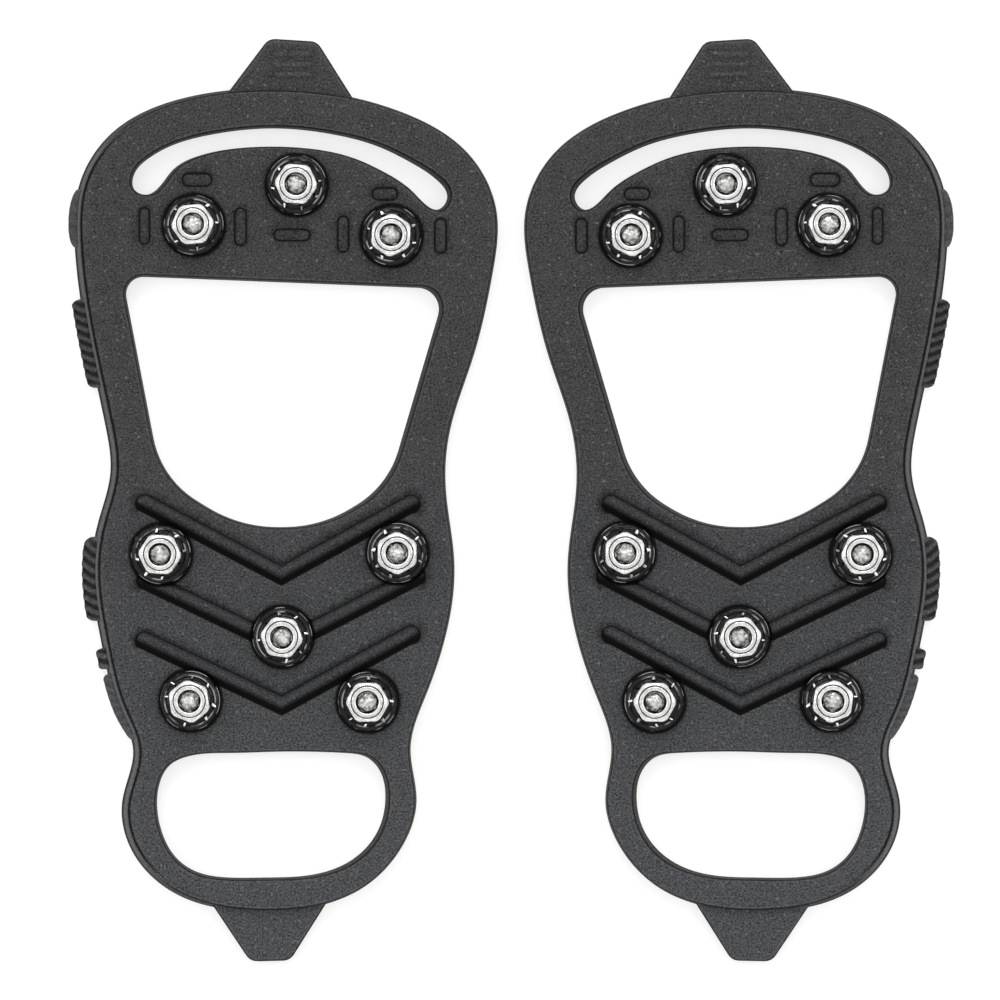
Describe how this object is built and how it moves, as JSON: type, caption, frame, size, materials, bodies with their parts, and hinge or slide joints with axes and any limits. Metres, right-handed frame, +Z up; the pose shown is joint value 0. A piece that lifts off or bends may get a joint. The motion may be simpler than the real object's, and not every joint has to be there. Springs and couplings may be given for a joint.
{
  "type": "shoe ice cleats",
  "caption": "Pair of stretch-on rubber ice cleats with hexagonal steel studs, toe and heel tabs, V ribs and open arch, lying studs up.",
  "frame": {"origin": "floor point under the middle of the pair", "axes": "+Z up through the studs, +Y towards the toes, +X from the left cleat to the right cleat"},
  "size_m": [0.2068, 0.2147, 0.0115],
  "materials": {
    "black_rubber": "matte",
    "glossy_collar": "gloss",
    "cap_steel": "satin",
    "tooth_steel": "gloss",
    "rivet_steel": "satin"
  },
  "bodies": {
    "left_forefoot": {"left_forefoot_sole": "black_rubber", "left_forefoot_rivets": "rivet_steel", "left_forefoot_collars": "glossy_collar", "left_forefoot_tooth_washers": "tooth_steel", "left_stud_cap_toe": "cap_steel", "left_stud_cap_ball_outer": "cap_steel", "left_stud_cap_ball_inner": "cap_steel"},
    "left_toe_band": {"left_toe_band": "black_rubber"},
    "left_heel": {"left_heel_sole": "black_rubber", "left_heel_rivets": "rivet_steel", "left_heel_collars": "glossy_collar", "left_heel_tooth_washers": "tooth_steel", "left_stud_cap_front_outer": "cap_steel", "left_stud_cap_front_inner": "cap_steel", "left_stud_cap_middle": "cap_steel", "left_stud_cap_rear_outer": "cap_steel", "left_stud_cap_rear_inner": "cap_steel"},
    "left_heel_loop": {"left_heel_loop": "black_rubber"},
    "right_forefoot": {"right_forefoot_sole": "black_rubber", "right_forefoot_rivets": "rivet_steel", "right_forefoot_collars": "glossy_collar", "right_forefoot_tooth_washers": "tooth_steel", "right_stud_cap_toe": "cap_steel", "right_stud_cap_ball_outer": "cap_steel", "right_stud_cap_ball_inner": "cap_steel"},
    "right_toe_band": {"right_toe_band": "black_rubber"},
    "right_heel": {"right_heel_sole": "black_rubber", "right_heel_rivets": "rivet_steel", "right_heel_collars": "glossy_collar", "right_heel_tooth_washers": "tooth_steel", "right_stud_cap_front_outer": "cap_steel", "right_stud_cap_front_inner": "cap_steel", "right_stud_cap_middle": "cap_steel", "right_stud_cap_rear_outer": "cap_steel", "right_stud_cap_rear_inner": "cap_steel"},
    "right_heel_loop": {"right_heel_loop": "black_rubber"}
  },
  "joints": [
    {"name": "left_toe_band_flex", "type": "hinge", "parent": "left_forefoot", "child": "left_toe_band", "pos_m": [-0.0532, 0.0805, 0.0025], "axis": [0.9986, -0.0523, 0], "range_deg": [0, 80], "stiffness_Nm_per_rad": 0.01},
    {"name": "left_arch_flex", "type": "hinge", "parent": "left_forefoot", "child": "left_heel", "pos_m": [-0.0532, 0.017, 0.0025], "axis": [-1, 0, 0], "range_deg": [0, 90], "stiffness_Nm_per_rad": 0.02},
    {"name": "left_heel_loop_flex", "type": "hinge", "parent": "left_heel", "child": "left_heel_loop", "pos_m": [-0.0532, -0.066, 0.0025], "axis": [-1, 0, 0], "range_deg": [0, 80], "stiffness_Nm_per_rad": 0.01},
    {"name": "right_toe_band_flex", "type": "hinge", "parent": "right_forefoot", "child": "right_toe_band", "pos_m": [0.0532, 0.0805, 0.0025], "axis": [0.9986, 0.0523, 0], "range_deg": [0, 80], "stiffness_Nm_per_rad": 0.01},
    {"name": "right_arch_flex", "type": "hinge", "parent": "right_forefoot", "child": "right_heel", "pos_m": [0.0532, 0.017, 0.0025], "axis": [-1, 0, 0], "range_deg": [0, 90], "stiffness_Nm_per_rad": 0.02},
    {"name": "right_heel_loop_flex", "type": "hinge", "parent": "right_heel", "child": "right_heel_loop", "pos_m": [0.0532, -0.066, 0.0025], "axis": [-1, 0, 0], "range_deg": [0, 80], "stiffness_Nm_per_rad": 0.01},
    {"name": "right_cleat_lift", "type": "slide", "parent": "left_forefoot", "child": "right_forefoot", "axis": [0, 0, 1], "range_m": [0, 0.04]}
  ]
}
